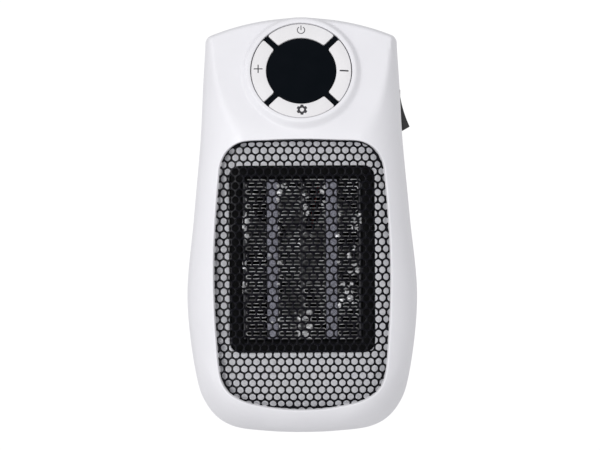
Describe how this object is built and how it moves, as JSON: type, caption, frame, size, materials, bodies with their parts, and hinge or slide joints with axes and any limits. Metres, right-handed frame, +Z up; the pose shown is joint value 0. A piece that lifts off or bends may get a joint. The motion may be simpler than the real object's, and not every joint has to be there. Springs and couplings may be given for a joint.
{
  "type": "ceramic space heater",
  "caption": "Plug-in ceramic fan heater: round control dial on a leaning upper face, perforated metal grille over a finned ceramic element, side rocker switch, rotating two-pin plug.",
  "frame": {"origin": "centre of the plug's flat rear face, where it meets the wall socket", "axes": "+Z up, the grille and dial face -Y, +Y into the wall socket, +X to the right seen from the front"},
  "size_m": [0.1054, 0.1161, 0.1901],
  "materials": {
    "case_white": "satin moulded ABS, very fine texture",
    "button_white": "satin moulded plastic",
    "grille_black": "satin black paint on perforated steel",
    "gloss_black": "smoked gloss acrylic",
    "switch_black": "satin nylon",
    "plastic_black": "heat-resistant nylon",
    "plastic_grey": "moulded plastic",
    "plastic_ivory": "moulded plastic",
    "ceramic_grey": "matte ceramic bar under insulating film",
    "aluminium": "rolled sheet",
    "steel": "zinc plated",
    "nickel": "nickel plated brass",
    "brass": "stamped sheet",
    "board_green": "glass-fibre circuit board",
    "lead_insulation": "silicone insulation"
  },
  "bodies": {
    "plug": {"plug_body": "case_white", "plug_pin_left": "nickel", "plug_pin_right": "nickel", "contact_spring_left": "brass", "contact_spring_right": "brass"},
    "housing": {"front_shell": "case_white", "rear_shell": "case_white", "outlet_baffle": "case_white", "front_grille": "grille_black", "display_lens": "gloss_black", "switch_housing": "switch_black", "heater_frame": "plastic_black", "air_duct": "plastic_black", "fan_frame": "plastic_black", "motor_end_cap": "plastic_black", "button_carrier": "plastic_black", "plug_retainer": "plastic_black", "power_tact_switch": "plastic_black", "plus_tact_switch": "plastic_black", "settings_tact_switch": "plastic_black", "minus_tact_switch": "plastic_black", "led_display": "plastic_grey", "relay": "plastic_ivory", "filter_capacitor": "plastic_ivory", "thermal_cutoff": "plastic_ivory", "heating_bar_left": "ceramic_grey", "heating_bar_right": "ceramic_grey", "fin_pack_inner_left": "aluminium", "fin_pack_inner_right": "aluminium", "fin_pack_outer_left": "aluminium", "fin_pack_outer_right": "aluminium", "centre_strip": "aluminium", "side_plate_left": "aluminium", "side_plate_right": "aluminium", "motor_can": "steel", "rocker_pin": "steel", "thermal_fuse": "steel", "case_screw_upper_left": "steel", "case_screw_upper_right": "steel", "case_screw_lower_left": "steel", "case_screw_lower_right": "steel", "contact_ring_inner": "brass", "contact_ring_outer": "brass", "heater_terminal_left": "brass", "heater_terminal_right": "brass", "switch_terminal_1": "brass", "switch_terminal_2": "brass", "control_board": "board_green", "main_board": "board_green", "heater_lead_left": "lead_insulation", "heater_lead_right": "lead_insulation", "motor_lead": "lead_insulation"},
    "fan": {"impeller": "plastic_grey", "fan_shaft": "steel", "motor_armature": "steel"},
    "rocker": {"rocker": "switch_black"},
    "power_button": {"power_button": "button_white"},
    "plus_button": {"plus_button": "button_white"},
    "settings_button": {"settings_button": "button_white"},
    "minus_button": {"minus_button": "button_white"}
  },
  "joints": [
    {"name": "plug_turn", "type": "hinge", "parent": "plug", "child": "housing", "pos_m": [0, 0, 0], "axis": [0, 1, 0], "range_deg": [-90, 90]},
    {"name": "fan_spin", "type": "hinge", "parent": "housing", "child": "fan", "pos_m": [0, -0.0455, -0.0606], "axis": [0, 1, 0], "continuous": true},
    {"name": "power_rocker", "type": "hinge", "parent": "housing", "child": "rocker", "pos_m": [0.0444, -0.0445, 0.0062], "axis": [0, 1, 0], "range_deg": [0, 34]},
    {"name": "power_button_press", "type": "slide", "parent": "housing", "child": "power_button", "axis": [0, 0.9397, -0.342], "range_m": [0, 0.0005], "stiffness_N_per_m": 800},
    {"name": "plus_button_press", "type": "slide", "parent": "housing", "child": "plus_button", "axis": [0, 0.9397, -0.342], "range_m": [0, 0.0005], "stiffness_N_per_m": 800},
    {"name": "settings_button_press", "type": "slide", "parent": "housing", "child": "settings_button", "axis": [0, 0.9397, -0.342], "range_m": [0, 0.0005], "stiffness_N_per_m": 800},
    {"name": "minus_button_press", "type": "slide", "parent": "housing", "child": "minus_button", "axis": [0, 0.9397, -0.342], "range_m": [0, 0.0005], "stiffness_N_per_m": 800}
  ]
}
